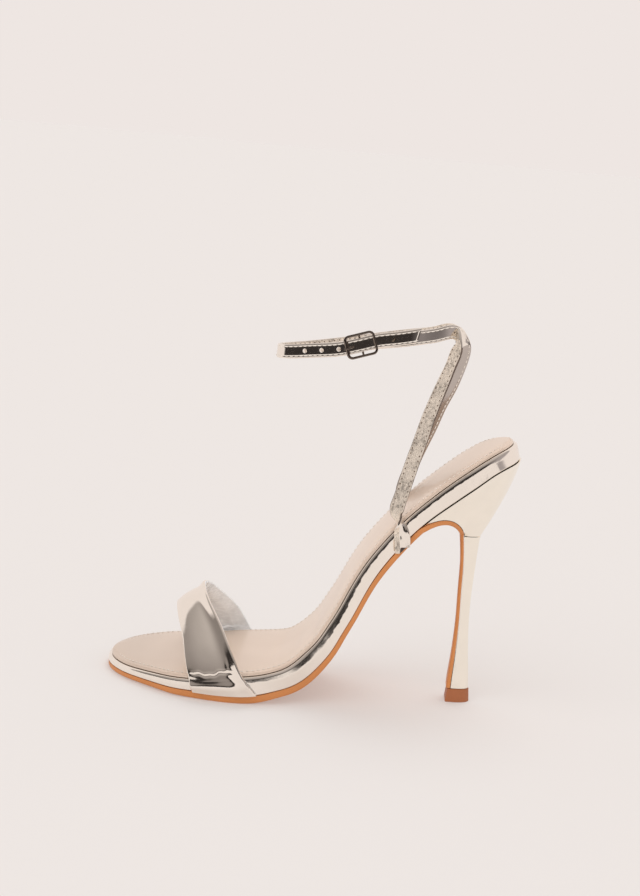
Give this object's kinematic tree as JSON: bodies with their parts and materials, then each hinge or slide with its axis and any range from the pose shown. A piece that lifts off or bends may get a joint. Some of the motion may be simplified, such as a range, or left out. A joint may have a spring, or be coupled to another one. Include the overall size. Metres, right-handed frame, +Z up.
{
  "type": "strappy high-heeled sandal",
  "caption": "Bright leather sandal on a tall slim heel, with a band over the toes and crossed ankle straps closed by a buckle.",
  "frame": {"origin": "middle of the flat underside of the heel's top piece, on the floor", "axes": "-X towards the toe, +X towards the back, -Y towards the outer side of the foot, +Z up"},
  "size_m": [0.1898, 0.0872, 0.1841],
  "materials": {
    "rose_gold_mirror": "leather with a pale rose-gold mirror foil",
    "champagne_satin": "satin champagne sock leather",
    "tan_sole": "smooth tan sole leather",
    "brown_rubber": "matt brown rubber",
    "plated_heel": "plated with a pale rose-gold mirror",
    "buckle_plating": "polished pale gold plating"
  },
  "bodies": {
    "root": {"outsole": "tan_sole", "insole_board": "rose_gold_mirror", "insole_sock": "champagne_satin", "heel_cup": "plated_heel", "heel_stem": "plated_heel", "heel_top_piece": "brown_rubber", "toe_strap": "rose_gold_mirror", "ankle_straps": "rose_gold_mirror", "buckle_frame": "buckle_plating", "buckle_prong": "buckle_plating"}
  },
  "joints": []
}
